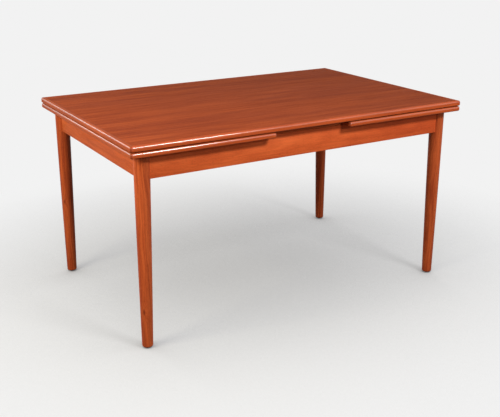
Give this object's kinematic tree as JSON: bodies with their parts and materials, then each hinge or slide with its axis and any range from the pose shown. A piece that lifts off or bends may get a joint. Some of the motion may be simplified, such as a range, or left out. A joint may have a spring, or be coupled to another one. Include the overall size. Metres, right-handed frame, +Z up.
{
  "type": "draw leaf table",
  "caption": "Wooden dining table: a loose veneered top over end leaves that draw out on sloped bearers, an apron frame and round tapered legs.",
  "frame": {"origin": "on the floor under the middle of the closed table", "axes": "+X along the table, -Y is the front, +Z is up"},
  "size_m": [1.38, 0.9, 0.73],
  "materials": {
    "teak_veneer": "satin varnished teak veneer, grain along the table",
    "teak_lipping": "satin varnished solid teak with a polished rounded edge",
    "teak_leg": "satin varnished solid teak, grain along the leg",
    "teak_apron": "satin varnished teak, grain along the apron or board",
    "beech": "planed and unvarnished beech",
    "felt": "dense green wool felt",
    "steel": "plain slotted wood screws",
    "glide_plastic": "dark brown nail-on glide"
  },
  "bodies": {
    "frame": {"apron_back": "teak_apron", "apron_front": "teak_apron", "apron_left": "teak_apron", "apron_right": "teak_apron", "centre_board": "teak_apron", "centre_board_felt_strips": "felt", "centre_board_screws": "steel", "corner_block_back_left": "beech", "corner_block_back_right": "beech", "corner_block_front_left": "beech", "corner_block_front_right": "beech", "corner_block_screws": "steel", "cross_rail_left": "beech", "cross_rail_right": "beech", "foot_glides": "glide_plastic", "leg_back_left": "teak_leg", "leg_back_right": "teak_leg", "leg_front_left": "teak_leg", "leg_front_right": "teak_leg"},
    "leaf_left": {"left_leaf_bearer_back": "beech", "left_leaf_bearer_front": "beech", "left_leaf_bearer_screws": "steel", "left_leaf_bearer_stops": "beech", "left_leaf_lipping_back": "teak_lipping", "left_leaf_lipping_front": "teak_lipping", "left_leaf_lipping_inner": "teak_lipping", "left_leaf_lipping_outer": "teak_lipping", "left_leaf_panel": "teak_veneer"},
    "leaf_right": {"right_leaf_bearer_back": "beech", "right_leaf_bearer_front": "beech", "right_leaf_bearer_screws": "steel", "right_leaf_bearer_stops": "beech", "right_leaf_lipping_back": "teak_lipping", "right_leaf_lipping_front": "teak_lipping", "right_leaf_lipping_inner": "teak_lipping", "right_leaf_lipping_outer": "teak_lipping", "right_leaf_panel": "teak_veneer"},
    "guide_pegs": {"guide_pegs": "beech"},
    "top": {"top_felt_strips": "felt", "top_lipping_back": "teak_lipping", "top_lipping_front": "teak_lipping", "top_lipping_left": "teak_lipping", "top_lipping_right": "teak_lipping", "top_panel": "teak_veneer"}
  },
  "joints": [
    {"name": "left_leaf_draw", "type": "slide", "parent": "frame", "child": "leaf_left", "axis": [-0.9992, 0, 0.0403], "range_m": [0, 0.53854]},
    {"name": "right_leaf_draw", "type": "slide", "parent": "frame", "child": "leaf_right", "axis": [0.9992, 0, 0.0403], "range_m": [0, 0.53854]},
    {"name": "top_left_end_lift", "type": "hinge", "parent": "frame", "child": "guide_pegs", "pos_m": [0.656, 0, 0.7086], "axis": [0, 1, 0], "range_deg": [0, 0.97]},
    {"name": "top_right_end_lift", "type": "hinge", "parent": "guide_pegs", "child": "top", "pos_m": [-0.656, 0, 0.7086], "axis": [0, -1, 0], "range_deg": [0, 0.97]}
  ],
  "couplings": [
    {"joint": "top_left_end_lift", "follows": "left_leaf_draw", "rad_per_m": 0.031137},
    {"joint": "top_right_end_lift", "follows": "right_leaf_draw", "rad_per_m": 0.031137}
  ]
}
